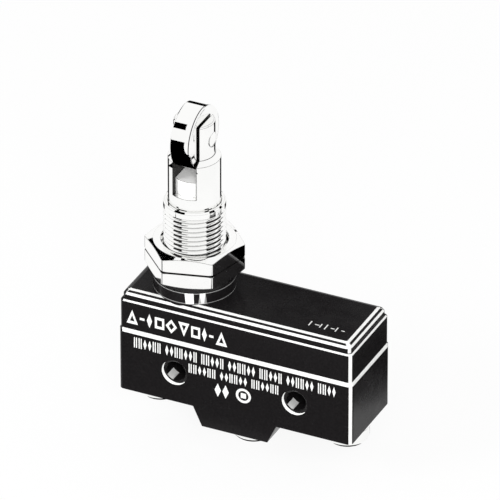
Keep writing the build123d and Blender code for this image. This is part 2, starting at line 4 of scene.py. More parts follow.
import bmesh
import bpy
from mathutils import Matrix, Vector

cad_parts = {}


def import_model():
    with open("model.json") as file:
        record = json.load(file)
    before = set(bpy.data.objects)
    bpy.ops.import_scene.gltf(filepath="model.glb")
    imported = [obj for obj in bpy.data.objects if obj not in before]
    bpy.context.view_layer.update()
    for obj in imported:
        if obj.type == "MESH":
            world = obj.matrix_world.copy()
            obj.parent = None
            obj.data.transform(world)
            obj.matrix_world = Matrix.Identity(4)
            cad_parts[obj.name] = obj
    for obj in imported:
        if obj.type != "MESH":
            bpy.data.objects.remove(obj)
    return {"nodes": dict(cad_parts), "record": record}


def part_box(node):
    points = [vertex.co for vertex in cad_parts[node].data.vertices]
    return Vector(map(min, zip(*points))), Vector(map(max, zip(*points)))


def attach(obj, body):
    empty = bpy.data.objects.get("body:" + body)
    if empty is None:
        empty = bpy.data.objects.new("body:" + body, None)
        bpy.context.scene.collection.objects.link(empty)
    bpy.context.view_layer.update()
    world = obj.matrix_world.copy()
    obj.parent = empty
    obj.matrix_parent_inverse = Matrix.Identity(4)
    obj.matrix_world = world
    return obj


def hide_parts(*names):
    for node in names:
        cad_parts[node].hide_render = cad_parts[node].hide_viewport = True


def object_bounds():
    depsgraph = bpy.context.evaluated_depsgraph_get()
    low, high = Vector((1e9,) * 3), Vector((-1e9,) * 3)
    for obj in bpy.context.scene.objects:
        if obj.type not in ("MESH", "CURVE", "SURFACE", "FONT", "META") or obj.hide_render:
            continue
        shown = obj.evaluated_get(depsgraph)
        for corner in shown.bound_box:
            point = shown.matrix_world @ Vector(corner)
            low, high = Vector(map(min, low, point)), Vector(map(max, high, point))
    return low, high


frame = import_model()
cad_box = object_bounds()
nodes = frame["nodes"]
MM = 0.001

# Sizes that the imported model's boxes don't give
BOSS_HEIGHT = 2.4 * MM          # the cover's boss above its roof
SLOT_DEPTH = 4.8 * MM           # the roller's slot, from the sleeve's top to its floor
HOLE_X = 12.7 * MM              # from the origin to each side mounting hole

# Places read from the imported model, in metres
CASE_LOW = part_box("case")[0]
COVER_LOW, COVER_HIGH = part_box("cover")
BUSH_LOW, BUSH_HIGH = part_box("mounting_bushing")
NUT_LOW, NUT_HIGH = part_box("lower_nut")
TOP_NUT_LOW, TOP_NUT_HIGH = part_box("upper_nut")
PLUNGER_X = (BUSH_LOW.x + BUSH_HIGH.x) / 2
SEAM_Z = COVER_LOW.z
BOSS_TOP = COVER_HIGH.z
ROOF_TOP = BOSS_TOP - BOSS_HEIGHT
FLANGE_TOP = NUT_LOW.z
THREAD_TOP = BUSH_HIGH.z
SLOT_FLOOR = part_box("plunger_sleeve")[1].z - SLOT_DEPTH
ROLLER_Z = (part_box("roller")[0].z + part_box("roller")[1].z) / 2
FLOOR_Z = cad_box[0].z

# The photograph's view
VIEW_AZIMUTH = math.radians(25.3)
VIEW_ELEVATION = math.radians(31.3)
VIEW_DISTANCE = 2.0
VIEW_WIDTH = 95.86 * MM         # what the frame spans at the object
VIEW_RIGHT = -0.75 * MM         # the frame's middle, from the origin
VIEW_UP = 22.2 * MM
SENSOR = 36.0

# Thread and nuts
THREAD_RADIUS = 6.0 * MM
THREAD_ROOT = 5.5 * MM
THREAD_PITCH = 1.0 * MM
THREAD_LEAD = 1.4 * MM          # plain band above the thread
BORE_RADIUS = 5.15 * MM
NUT_FLATS = 17.0 * MM
NUT_TURN = math.radians(15.5)
NUT_BORE = 6.05 * MM
NUT_SLOPE = 0.35
CROWN_RING = 8.0 * MM           # the ring round a nut's outer face
BACK_RING = 9.115 * MM          # and round the face against the other nut
CORNER_SPREAD = 8               # how narrow the rounding at a nut's corners is

# Colours and marks in the finishes
WHITE_METAL = ((0.98, 0.98, 0.97), (0.94, 0.94, 0.93))
PALE = (0.86, 0.86, 0.85)       # painted highlights on the phenolic's edges, and fresh ink
# Dark lines along the metal's edges, and painted shade in its seams
EDGE_LINE_AND_SHADE = (0.02, 0.02, 0.02)
PAINTED_DARK = (0.02, 0.019, 0.018)    # painted shade and painted dark reflections on the metal, and the roller's dark tread line
TOOL_MARKS = 0.2e-6             # the depth of a tool's marks, in metres
NOISE_LOW, NOISE_HIGH = 0.3, 0.7                        # where most of a noise's values lie
EDGE_GAIN = 70.0                # how sharply edges are told from open faces
EDGE_START = 69.6
HIGHLIGHT_LOW = 6.0 * MM              # painted highlights on the housing's edges start above this height
HIGHLIGHT_SEAM = 0.9 * MM             # the painted highlight band below the parting line
HIGHLIGHT_END = 23.5 * MM             # upright corners get a painted highlight beyond this X
MOUTH_RADIUS = 2.75 * MM        # a side hole's mouth, with its chamfer
CRESCENT_RIM = 2.6 * MM         # the inner rim of the painted highlight crescent in that mouth
CRESCENT_GROWTH = 0.42 * MM     # how far that rim moves in where the chamfer faces up and right
LIT_FACE_X, LIT_FACE_Z = 0.63, 0.777                # the way up and right, towards the light, that a hole's painted highlights face
GLINT_DEPTH = 5.4 * MM          # a hole's glint lies in front of this depth
BOSS_HIGHLIGHTS = ((-1.372, -1.154), (-1.009, -0.862))     # painted highlight streaks, as radians round the boss from +X
RIM_HIGHLIGHT = 0.35                # how pale the painted highlights on the boss's rims are
SLOT_HALF = 2.6 * MM            # half the roller's slot, and a little more
CORE_RADIUS = 4.02 * MM         # the yoke's round, seen in the sleeve's window
DARK_REFLECTION_SECTORS = ((-111.2, -89.5), (-41.5, -2))                # painted dark reflections in the thread's roots, as degrees round it from +X
REFLECTION_NEAR = 5.3 * MM          # the painted dark reflections lie between these two radii
REFLECTION_FAR = 5.76 * MM
TREAD_LINE = (1.6 * MM, 1.82 * MM)                      # the dark line's sides, from the roller's middle
TREAD_NEAR = 5.8 * MM           # and its two radii
TREAD_FAR = 6.5 * MM


def mesh_object(name, verts, faces, body, material, sharp):
    """A new piece from vertices and faces, riding on a body and shaded smooth up to an angle in degrees."""
    mesh = bpy.data.meshes.new(name)
    mesh.from_pydata([tuple(v) for v in verts], [], faces)
    mesh.validate()
    tidy = bmesh.new()
    tidy.from_mesh(mesh)
    bmesh.ops.remove_doubles(tidy, verts=tidy.verts, dist=1e-6)
    bmesh.ops.recalc_face_normals(tidy, faces=tidy.faces)
    tidy.to_mesh(mesh)
    tidy.free()
    mesh.polygons.foreach_set("use_smooth", [True] * len(mesh.polygons))
    mesh.set_sharp_from_angle(angle=math.radians(sharp))
    mesh.materials.append(material)
    piece = bpy.data.objects.new(name, mesh)
    bpy.context.scene.collection.objects.link(piece)
    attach(piece, body)
    return piece


def ring(x, profile, segments=144):
    """Vertices and faces of a closed profile turned about an upright axis.

    profile(angle) gives the (radius, height) points at that angle, always the same number."""
    verts, faces = [], []
    count = len(profile(0))
    for i in range(segments):
        angle = 2 * math.pi * i / segments
        for radius, height in profile(angle):
            verts.append((x + radius * math.cos(angle), radius * math.sin(angle), height))
    for i in range(segments):
        for j in range(count):
            a, b = i * count, (i + 1) % segments * count
            faces.append((a + j, b + j, b + (j + 1) % count, a + (j + 1) % count))
    return verts, faces


# Materials

class Nodes:
    """A material's node tree, with short calls for what the finishes share."""

    def __init__(self, name):
        self.material = bpy.data.materials.new(name)
        self.material.use_nodes = True
        self.tree = self.material.node_tree
        self.shader = self.tree.nodes["Principled BSDF"]

    def add(self, kind, **values):
        node = self.tree.nodes.new(kind)
        for key, value in values.items():
            setattr(node, key, value)
        return node

    def link(self, source, target):
        self.tree.links.new(source, target)

    def math(self, operation, a, b=None, c=None, clamp=False):
        node = self.add("ShaderNodeMath", operation=operation, use_clamp=clamp)
        for socket, value in zip(node.inputs, (a, b, c)):
            if value is None:
                continue
            if isinstance(value, (int, float)):
                socket.default_value = value
            else:
                self.link(value, socket)
        return node.outputs[0]

    def between(self, value, low, high, soft=0.01):
        """1 where the value lies between low and high, with soft ends."""
        up = self.math("MULTIPLY_ADD", value, 1 / soft, -low / soft, clamp=True)
        down = self.math("MULTIPLY_ADD", value, -1 / soft, high / soft, clamp=True)
        return self.math("MULTIPLY", up, down)

    def place(self):
        """The point on the object, in metres, as x, y and z."""
        coords = self.add("ShaderNodeTexCoord")
        split = self.add("ShaderNodeSeparateXYZ")
        self.link(coords.outputs["Object"], split.inputs[0])
        return split.outputs

    def normal(self):
        """The direction that the face looks in, as x, y and z."""
        geometry = self.add("ShaderNodeNewGeometry")
        split = self.add("ShaderNodeSeparateXYZ")
        self.link(geometry.outputs["True Normal"], split.inputs[0])
        return split.outputs

    def away(self, a, b):
        """How far the point lies from an axis, from its offsets in two directions."""
        squares = self.math("ADD", self.math("MULTIPLY", a, a), self.math("MULTIPLY", b, b))
        return self.math("SQRT", squares)

    def noise(self, scale, stretch=(1, 1, 1), detail=3.0):
        coords = self.add("ShaderNodeTexCoord")
        mapping = self.add("ShaderNodeMapping")
        mapping.inputs["Scale"].default_value = stretch
        noise = self.add("ShaderNodeTexNoise")
        noise.inputs["Scale"].default_value = scale
        noise.inputs["Detail"].default_value = detail
        self.link(coords.outputs["Object"], mapping.inputs["Vector"])
        self.link(mapping.outputs["Vector"], noise.inputs["Vector"])
        return noise.outputs["Fac"]

    def spread(self, value, low, high):
        """A noise value spread from low to high."""
        node = self.add("ShaderNodeMapRange")
        node.inputs["From Min"].default_value = NOISE_LOW
        node.inputs["From Max"].default_value = NOISE_HIGH
        node.inputs["To Min"].default_value = low
        node.inputs["To Max"].default_value = high
        self.link(value, node.inputs["Value"])
        return node.outputs["Result"]

    def blend(self, factor, a, b):
        """Colour a where the factor is 0 and b where it is 1."""
        node = self.add("ShaderNodeMix", data_type="RGBA")
        self.link(factor, node.inputs["Factor"])
        for socket, value in ((node.inputs["A"], a), (node.inputs["B"], b)):
            if isinstance(value, tuple):
                socket.default_value = (*value, 1)
            else:
                self.link(value, socket)
        return node.outputs["Result"]

    def edges(self, width):
        """1 along edges and in seams, 0 on open faces."""
        geometry = self.add("ShaderNodeNewGeometry")
        rounded = self.add("ShaderNodeBevel", samples=12)
        rounded.inputs["Radius"].default_value = width
        dot = self.add("ShaderNodeVectorMath", operation="DOT_PRODUCT")
        self.link(geometry.outputs["Normal"], dot.inputs[0])
        self.link(rounded.outputs["Normal"], dot.inputs[1])
        return self.math("MULTIPLY_ADD", dot.outputs["Value"], -EDGE_GAIN, EDGE_START, clamp=True)

    def bump(self, height, distance):
        """Fine relief, as deep as the distance in metres."""
        node = self.add("ShaderNodeBump")
        node.inputs["Strength"].default_value = 1.0
        node.inputs["Distance"].default_value = distance
        self.link(height, node.inputs["Height"])
        self.link(node.outputs["Normal"], self.shader.inputs["Normal"])


def metal(name, light, dark, rough, stretch=(1, 1, 1), scale=900, edge=0.0, edge_width=0.14):
    """A worked metal: its colour and gloss vary a little along the marks that the tool left.

    Where edge is above 0, its edges and seams are darkened by that much: painted shade in the seams, and dark
    lines along the edges.
    The edge's width is in millimetres."""
    made = Nodes(name)
    made.shader.inputs["Metallic"].default_value = 1.0
    marks = made.noise(scale, stretch)
    stains = made.noise(140, detail=5.0)
    colour = made.blend(made.spread(stains, 0, 1), light, dark)
    if edge:
        # Painted shade in the seams, and dark lines along the edges.
        edge_darkening = made.math("MULTIPLY", made.edges(edge_width * MM), edge)
        colour = made.blend(edge_darkening, colour, EDGE_LINE_AND_SHADE)
    made.link(made.spread(marks, rough[0], rough[1]), made.shader.inputs["Roughness"])
    made.bump(marks, TOOL_MARKS)
    return made, colour


def edge_highlights(made, x, z, normal, upright):
    """1 for the painted highlights on the steps and bevels, the parting line and the end's corners, where
    they face front or right.
    """
    nx, ny, nz = normal
    toward = made.math("MULTIPLY", made.math("GREATER_THAN", nx, -0.2), made.math("LESS_THAN", ny, 0.2))
    # The chamfers on either side of the cover's bevel get painted highlights. The bevel, at an nz of 0.857,
    # stays black.
    chamfers = made.math("ADD", made.between(nz, 0.2, 0.84), made.between(nz, 0.875, 0.995, 0.004))
    edges = made.math("MULTIPLY", chamfers, made.math("GREATER_THAN", z, HIGHLIGHT_LOW))
    seam = made.math("MULTIPLY", made.between(z, SEAM_Z - HIGHLIGHT_SEAM, SEAM_Z, 0.03 * MM), upright)
    corner = made.math("MULTIPLY", made.between(nx, 0.42, 0.92), made.math("GREATER_THAN", x, HIGHLIGHT_END))
    corner = made.math("MULTIPLY", corner, upright)
    edge_highlight_mask = made.math("ADD", made.math("ADD", edges, seam), corner, clamp=True)
    return made.math("MULTIPLY", edge_highlight_mask, toward)


def hole_highlights(made, x, y, z, normal):
    """1 on the painted highlights in each side hole: a crescent in its chamfer, and a glint along its wall.
    """
    nx, ny, nz = normal
    across = made.math("SUBTRACT", made.math("ABSOLUTE", x), HOLE_X)
    from_hole = made.away(across, z)
    lean = made.math("ADD", made.math("MULTIPLY", nx, LIT_FACE_X), made.math("MULTIPLY", nz, LIT_FACE_Z))
    inner_rim = made.math("MULTIPLY_ADD", lean, -CRESCENT_GROWTH, CRESCENT_RIM)
    chamfer = made.between(made.math("ABSOLUTE", ny), 0.55, 0.85)
    mouth = made.math("MULTIPLY", chamfer, made.math("GREATER_THAN", lean, -0.03))
    # The crescent is a painted highlight.
    crescent = made.math("MULTIPLY", mouth, made.math("GREATER_THAN", from_hole, inner_rim))
    glint = made.math("MULTIPLY", made.between(lean, 0.94, 2.0), made.math("LESS_THAN", y, -GLINT_DEPTH))
    near_hole = made.math("LESS_THAN", from_hole, MOUTH_RADIUS)
    return made.math("MULTIPLY", near_hole, made.math("ADD", crescent, glint, clamp=True))


def boss_highlights(made, z, normal, upright):
    """1 on two painted highlight streaks down the boss, and a fainter value for painted highlights on its
    rims.
    """
    nx, ny, _ = normal
    wall = made.math("MULTIPLY", made.math("GREATER_THAN", z, ROOF_TOP + 0.05 * MM), upright)
    direction = made.math("ARCTAN2", ny, nx)
    left, right = (made.between(direction, start, end) for start, end in BOSS_HIGHLIGHTS)
    top_rim = made.between(z, BOSS_TOP - 0.16 * MM, BOSS_TOP + 0.1 * MM, 0.02 * MM)
    foot_rim = made.between(z, ROOF_TOP, ROOF_TOP + 0.2 * MM, 0.02 * MM)
    rims = made.math("MULTIPLY", made.math("ADD", top_rim, foot_rim), RIM_HIGHLIGHT)
    marks = made.math("ADD", made.math("ADD", left, right), rims, clamp=True)
    return made.math("MULTIPLY", wall, marks)


def phenolic():
    """Black moulded phenolic, finely mottled, with painted highlights on its edges towards the front and the
    right, in its side holes and on its boss.
    """
    made = Nodes("phenolic")
    shader = made.shader
    shader.inputs["Specular IOR Level"].default_value = 0.1
    normal = made.normal()
    x, y, z = made.place()
    upright = made.math("LESS_THAN", made.math("ABSOLUTE", normal[2]), 0.1)
    # Painted highlights: the edges, the side holes' crescents and glints, and the boss's streaks and rims.
    pale = made.math("ADD", edge_highlights(made, x, z, normal, upright), hole_highlights(made, x, y, z, normal))
    pale = made.math("ADD", pale, boss_highlights(made, z, normal, upright), clamp=True)
    # Noise breaks the painted highlights up a little.
    highlight_breakup = made.spread(made.noise(700, detail=4.0), 0.9, 1.0)
    pale = made.math("MULTIPLY", pale, highlight_breakup)
    mottle = made.spread(made.noise(2200, detail=4.0), 0, 1)
    body = made.blend(mottle, (0.0075, 0.0068, 0.0072), (0.0115, 0.0105, 0.011))
    made.link(made.blend(pale, body, PALE), shader.inputs["Base Color"])
    gloss = made.noise(350, detail=5.0)
    made.link(made.spread(gloss, 0.2, 0.3), shader.inputs["Roughness"])
    made.bump(made.noise(1500, detail=4.0), 1.2e-6)
    return made.material


def plated():
    """Satin nickel plate, with painted shade in the seam between the nuts and on the slot's walls, and a matt
    core below.
    """
    made, colour = metal("nickel_plate", *WHITE_METAL, (0.03, 0.07), scale=1200, edge=0.9)
    made.shader.inputs["Specular IOR Level"].default_value = 0.05
    nx = made.normal()[0]
    x, y, z = made.place()
    beside = made.math("SUBTRACT", x, PLUNGER_X)
    in_slot = made.math("LESS_THAN", made.math("ABSOLUTE", beside), SLOT_HALF)
    in_slot = made.math("MULTIPLY", in_slot, made.math("GREATER_THAN", z, THREAD_TOP))
    # Painted shade on the slot's walls, which are also made matt.
    slot_wall_shade = made.math("MULTIPLY", in_slot, made.math("GREATER_THAN", made.math("ABSOLUTE", nx), 0.98))
    core = made.math("LESS_THAN", made.away(beside, y), CORE_RADIUS)
    core = made.math("MULTIPLY", core, made.math("LESS_THAN", z, SLOT_FLOOR + 0.1 * MM))
    matt = made.math("ADD", core, slot_wall_shade, clamp=True)
    made.link(made.math("SUBTRACT", 1.0, matt), made.shader.inputs["Metallic"])
    # Painted shade in the seam between the two nuts.
    seam = made.between(z, NUT_HIGH.z - 0.2 * MM, TOP_NUT_LOW.z + 0.2 * MM, 0.02 * MM)
    seam = made.math("MULTIPLY", seam, made.math("LESS_THAN", nx, 0.9))
    dark = made.math("ADD", slot_wall_shade, seam, clamp=True)
    made.link(made.blend(dark, colour, PAINTED_DARK), made.shader.inputs["Base Color"])
    return made.material


def threaded():
    """The same plate on the thread, its many edges darkened less, with painted dark reflections in its roots
    at two sides.
    """
    made, colour = metal("nickel_thread", *WHITE_METAL, (0.04, 0.08), scale=1200, edge=0.6, edge_width=0.08)
    x, y, z = made.place()
    beside = made.math("SUBTRACT", x, PLUNGER_X)
    direction = made.math("ARCTAN2", y, beside)
    left, right = (
        made.between(direction, math.radians(start), math.radians(end), 0.03)
        for start, end in DARK_REFLECTION_SECTORS
    )
    in_root = made.between(made.away(beside, y), REFLECTION_NEAR, REFLECTION_FAR, 0.03 * MM)
    # Painted dark reflections in the roots, in two sectors.
    dark_reflection = made.math("MULTIPLY", made.math("ADD", left, right), in_root)
    dark_reflection = made.math("MULTIPLY", dark_reflection, made.math("LESS_THAN", z, THREAD_TOP - THREAD_LEAD))
    made.link(made.blend(dark_reflection, colour, PAINTED_DARK), made.shader.inputs["Base Color"])
    return made.material


def bright_steel():
    """Polished steel, with a dark line painted on the roller where its tread meets the right shoulder."""
    made, colour = metal("bright_steel", *WHITE_METAL, (0.015, 0.035), (0.2, 1, 1), edge=0.9)
    x, y, z = made.place()
    near, far = TREAD_LINE
    line = made.between(x, PLUNGER_X + near, PLUNGER_X + far, 0.03 * MM)
    out = made.away(y, made.math("SUBTRACT", z, ROLLER_Z))
    line = made.math("MULTIPLY", line, made.between(out, TREAD_NEAR, TREAD_FAR, 0.1 * MM))
    made.link(made.blend(line, colour, PAINTED_DARK), made.shader.inputs["Base Color"])
    return made.material


def plain_metal(*finish):
    """A worked metal without any marks of its own."""
    made, colour = metal(*finish)
    made.link(colour, made.shader.inputs["Base Color"])
    return made.material


PHENOLIC = phenolic()
PLATE = plated()
THREAD = threaded()
STEEL = bright_steel()
BRASS = plain_metal("rolled_brass", (0.8, 0.62, 0.3), (0.66, 0.5, 0.24), (0.22, 0.38), (0.15, 1, 1))
SPRING = plain_metal("spring_steel", (0.62, 0.63, 0.65), (0.46, 0.47, 0.5), (0.2, 0.34), (0.1, 1, 1))
SILVER = plain_metal("contact_silver", (0.9, 0.89, 0.86), (0.74, 0.73, 0.71), (0.2, 0.36))


def pin_plastic():
    """Speckled moulded plastic."""
    made = Nodes("pin_plastic")
    speckle = made.spread(made.noise(1800, detail=4.0), 0, 1)
    made.link(made.blend(speckle, (0.5, 0.17, 0.1), (0.6, 0.23, 0.14)), made.shader.inputs["Base Color"])
    made.link(made.spread(made.noise(900), 0.42, 0.58), made.shader.inputs["Roughness"])
    made.bump(made.noise(2500), 1.0e-6)
    return made.material


def ink():
    """White printing ink, a little worn."""
    made = Nodes("marking_ink")
    wear = made.spread(made.noise(2600, detail=4.0), 0, 1)
    made.link(made.blend(wear, PALE, (0.74, 0.74, 0.73)), made.shader.inputs["Base Color"])
    made.link(made.spread(made.noise(1400), 0.45, 0.65), made.shader.inputs["Roughness"])
    return made.material


INK = ink()

finishes = {
    "phenolic_black": PHENOLIC,
    "plated_metal": PLATE,
    "polished_steel": STEEL,
    "terminal_brass": BRASS,
    "spring_steel": SPRING,
    "contact_silver": SILVER,
    "pin_plastic": pin_plastic(),
}
for part in frame["record"]["subparts"]:
    mesh = nodes[part["node"]].data
    mesh.materials.clear()
    mesh.materials.append(finishes[part["material_slot"]])


# Threaded bush and nuts

def bush():
    """The bush as a turned core at the thread's root, with the thread wound round it."""
    guide_bore = 5.75 * MM
    spigot = 6.5 * MM
    flange = 7.0 * MM
    chamfer = 0.3 * MM
    bore_ease = 0.12 * MM
    flange_ease = 0.15 * MM
    lead = THREAD_TOP - THREAD_LEAD

    def core(angle):
        return [
            (BORE_RADIUS, BOSS_TOP),
            (BORE_RADIUS, THREAD_TOP - bore_ease),
            (BORE_RADIUS + bore_ease, THREAD_TOP),
            (THREAD_RADIUS - chamfer, THREAD_TOP),
            (THREAD_RADIUS, THREAD_TOP - chamfer),
            (THREAD_RADIUS, lead),
            (THREAD_ROOT, lead - chamfer),
            (THREAD_ROOT, FLANGE_TOP),
            (flange - flange_ease, FLANGE_TOP),
            (flange, FLANGE_TOP - flange_ease),
            (flange, BOSS_TOP),
            (spigot, BOSS_TOP),
            (spigot, BUSH_LOW.z),
            (guide_bore, BUSH_LOW.z),
            (guide_bore, BOSS_TOP),
        ]

    verts, faces = ring(PLUNGER_X, core)
    steps = 96                  # round one turn of the thread
    samples = 10                # up one pitch
    crest_power = 0.8           # below 1, it makes the crests fuller than the roots
    turns = (lead - FLANGE_TOP) / THREAD_PITCH + 1
    start = len(verts)
    count = int(turns * steps)
    for k in range(count + 1):
        angle = 2 * math.pi * k / steps
        base = FLANGE_TOP + THREAD_PITCH * (k / steps - 1)
        for j in range(samples + 1):
            share = j / samples
            crest = (0.5 - 0.5 * math.cos(2 * math.pi * share)) ** crest_power
            z = min(max(base + THREAD_PITCH * share, FLANGE_TOP), lead)
            radius = THREAD_ROOT + crest * (THREAD_RADIUS - THREAD_ROOT)
            verts.append((PLUNGER_X + radius * math.cos(angle), radius * math.sin(angle), z))
    rows = samples + 1
    for k in range(count):
        for j in range(samples):
            a = start + k * rows + j
            faces.append((a, a + rows, a + rows + 1, a + 1))
    piece = mesh_object("threaded_bush", verts, faces, "switch_body", THREAD, 40)
    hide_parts("mounting_bushing")


def hexagon_radius(angle, flats, round_corner):
    """How far a hexagon with rounded corners reaches at an angle from its centre."""
    turn = (angle - NUT_TURN) % (math.pi / 3) - math.pi / 6
    reach = flats / 2 / math.cos(turn)
    corner = flats / 3 ** 0.5
    from_corner = math.pi / 6 - abs(turn)
    return min(reach, corner - round_corner * (1 - CORNER_SPREAD * from_corner ** 2))


def nut(name, node, low, high, low_ring, high_ring):
    """A hexagon nut, its corners turned back outside a ring on each face, and its bore countersunk."""
    mouth = 0.5 * MM
    soft = 0.04 * MM
    round_corner = 0.1 * MM

    def section(angle):
        reach = hexagon_radius(angle, NUT_FLATS, round_corner)
        low_fall = max(0, reach - low_ring) * NUT_SLOPE
        high_fall = max(0, reach - high_ring) * NUT_SLOPE
        return [
            (NUT_BORE, low + mouth),
            (NUT_BORE + mouth, low),
            (min(low_ring, reach - soft), low),
            (reach - soft, low + low_fall),
            (reach, low + low_fall + soft),
            (reach, high - high_fall - soft),
            (reach - soft, high - high_fall),
            (min(high_ring, reach - soft), high),
            (NUT_BORE + mouth, high),
            (NUT_BORE, high - mouth),
        ]

    verts, faces = ring(PLUNGER_X, section, 360)
    piece = mesh_object(name, verts, faces, "switch_body", PLATE, 15)
    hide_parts(node)


bush()
nut("thin_nut_lower", "lower_nut", NUT_LOW.z, NUT_HIGH.z, CROWN_RING, BACK_RING)
nut("thin_nut_upper", "upper_nut", TOP_NUT_LOW.z, TOP_NUT_HIGH.z, BACK_RING, CROWN_RING)


# Print

FRONT_Y = COVER_LOW.y
CASE_FRONT_Y = CASE_LOW.y
INK_PROUD = 0.012 * MM
SLAB_FACES = ((0, 1, 2, 3), (7, 6, 5, 4), (0, 4, 5, 1), (1, 5, 6, 2), (2, 6, 7, 3), (3, 7, 4, 0))

# Sizes of the print, in millimetres
TITLE_LOW, TITLE_HIGH = 8.55, 11.65
DASH_HALF = 0.25                # half a dash's height
SQUARE_INSET = 0.3              # the squares are this much lower than the row at both ends
DISC_SIDES = 24
MARK_STEP = 1.0                 # from one fine mark to the next
GROUP_GAP = 0.65                # more room between two groups of them
ROOF_ROW_X, ROOF_ROW_Y = 13.6, -3.9
ROOF_STEP = 1.1
ROOF_STROKES = ((0.22, 1.6), (0.9, 0.22), (0.22, 1.3), (0.22, 1.8), (0.8, 0.24), (0.22, 1.5), (0.7, 0.22))


def box_mark(x0, x1, z0, z1):
    """One upright oblong mark."""
    return [[(x0 * MM, z0 * MM), (x1 * MM, z0 * MM), (x1 * MM, z1 * MM), (x0 * MM, z1 * MM)]]


def outline(points, inner):
    """The band between an outline and the same outline shrunk about its middle, as four-sided marks.

    Points are in millimetres; an inner of 0 gives the whole shape."""
    count = len(points)
    middle_x = sum(x for x, _ in points) / count
    middle_z = sum(z for _, z in points) / count
    large = [(x * MM, z * MM) for x, z in points]
    small = [
        ((middle_x + (x - middle_x) * inner) * MM, (middle_z + (z - middle_z) * inner) * MM)
        for x, z in points
    ]
    return [[large[i], large[(i + 1) % count], small[(i + 1) % count], small[i]] for i in range(count)]


def diamond(x0, x1, z0, z1, inner=0.0):
    """A diamond that fills an oblong."""
    x, z = (x0 + x1) / 2, (z0 + z1) / 2
    return outline([(x0, z), (x, z0), (x1, z), (x, z1)], inner)


def triangle(x0, x1, base, tip, inner=0.0):
    """A triangle between two heights, its tip above or below its base."""
    return outline([(x0, base), (x1, base), ((x0 + x1) / 2, tip)], inner)


def square(x0, x1, z0, z1, inner=0.0):
    """An oblong, or a frame where inner is above 0."""
    return outline([(x0, z0), (x1, z0), (x1, z1), (x0, z1)], inner)


def disc(x, z, radius, inner=0.0):
    """A disc, or a ring where inner is above 0."""
    turns = [2 * math.pi * i / DISC_SIDES for i in range(DISC_SIDES)]
    return outline([(x + radius * math.cos(a), z + radius * math.sin(a)) for a in turns], inner)


def printed(name, marks, level, flat=False):
    """Thin raised ink: a small slab for each four-sided mark.

    It lies on a front face, whose y is the level, or where flat is set on a roof, whose z is the level."""
    verts, faces = [], []
    for corners in marks:
        first = len(verts)
        for height in (level - INK_PROUD, level + INK_PROUD):
            verts += [(u, v, height) if flat else (u, height, v) for u, v in corners]
        for quad in SLAB_FACES:
            faces.append(tuple(first + corner for corner in quad))
    mesh_object(name, verts, faces, "switch_body", INK, sharp=0)


def title_marks():
    """The large row on the front band: a plain border pattern of triangles, squares, diamonds and dashes."""
    low, high = TITLE_LOW, TITLE_HIGH
    middle = (low + high) / 2
    marks = triangle(-22.9, -20.5, low, high, 0.42)
    marks += box_mark(-20.1, -19.1, middle - DASH_HALF, middle + DASH_HALF)
    marks += diamond(-18.6, -17.5, low, high)
    marks += square(-16.9, -14.9, low + SQUARE_INSET, high - SQUARE_INSET, 0.55)
    marks += diamond(-14.6, -12.2, low, high, 0.5)
    marks += triangle(-11.9, -9.6, high, low, 0.42)
    marks += square(-9.2, -7.3, low + SQUARE_INSET, high - SQUARE_INSET, 0.55)
    marks += diamond(-6.9, -5.9, low, high)
    marks += box_mark(-5.4, -4.5, middle - DASH_HALF, middle + DASH_HALF)
    marks += triangle(-4.0, -1.6, low, high, 0.42)
    return marks


def fine_row(x, low, high, groups):
    """A row of fine print as groups of plain strokes and blocks, each one even from top to bottom."""
    marks = []
    middle = (low + high) / 2
    half = (high - low) / 2
    for k, count in enumerate(groups):
        for i in range(count):
            kind = (3 * i + 2 * k + i * i) % 4
            if kind == 0:       # two strokes
                marks += box_mark(x, x + 0.22, low, high) + box_mark(x + 0.44, x + 0.66, low, high)
            elif kind == 1:     # two stacked blocks
                marks += box_mark(x, x + 0.62, low, middle - 0.16 * half)
                marks += box_mark(x, x + 0.62, middle + 0.16 * half, high)
            elif kind == 2:     # a slim diamond
                marks += diamond(x, x + 0.7, low, high)
            else:               # a stroke and a short one
                marks += box_mark(x + 0.06, x + 0.3, low, high)
                marks += box_mark(x + 0.46, x + 0.68, middle - 0.45 * half, middle + 0.45 * half)
            x += MARK_STEP
        x += GROUP_GAP
    return marks


def small_signs():
    """Two plain signs under the fine rows: a pair of slim diamonds, and a ring with a block in it."""
    marks = diamond(-4.2, -2.85, -3.0, 0.0) + diamond(-2.55, -1.2, -3.0, 0.0)
    return marks + disc(1.9, -1.35, 1.6, 0.68) + square(1.35, 2.45, -1.9, -0.8)


def roof_marks():
    """A few short faint strokes on the roof."""
    marks = []
    for i, (wide, tall) in enumerate(ROOF_STROKES):
        x = ROOF_ROW_X + ROOF_STEP * i
        marks += box_mark(x, x + wide, ROOF_ROW_Y - tall / 2, ROOF_ROW_Y + tall / 2)
    return marks


rows = fine_row(-21.3, 3.45, 5.75, (6, 7, 5, 6, 5, 6, 4)) + fine_row(-9.7, 0.85, 2.85, (6, 6, 6))
printed("front_title_marks", title_marks(), FRONT_Y)
printed("front_rating_marks", rows + small_signs(), CASE_FRONT_Y)
printed("roof_marks", roof_marks(), ROOF_TOP, flat=True)


# Stage

FLOOR_HALF = 3.0                # half the floor's side, in metres
FLOOR_GAP = 0.05 * MM           # the floor below the part's lowest point
FLOOR_OWN_WHITE = 0.9           # the share of the floor's white that doesn't come from the lamps
LAMP_AIM = Vector((0, 0, 15 * MM))
CARD_LIFT = 0.3                 # floor cards above the part's lowest point, in millimetres


def black_material(name):
    """A material that gives off no light and returns none."""
    material = bpy.data.materials.new(name)
    material.use_nodes = True
    tree = material.node_tree
    tree.nodes.clear()
    emission = tree.nodes.new("ShaderNodeEmission")
    emission.inputs["Color"].default_value = (0, 0, 0, 1)
    emission.inputs["Strength"].default_value = 0.0
    output = tree.nodes.new("ShaderNodeOutputMaterial")
    tree.links.new(emission.outputs[0], output.inputs["Surface"])
    return material


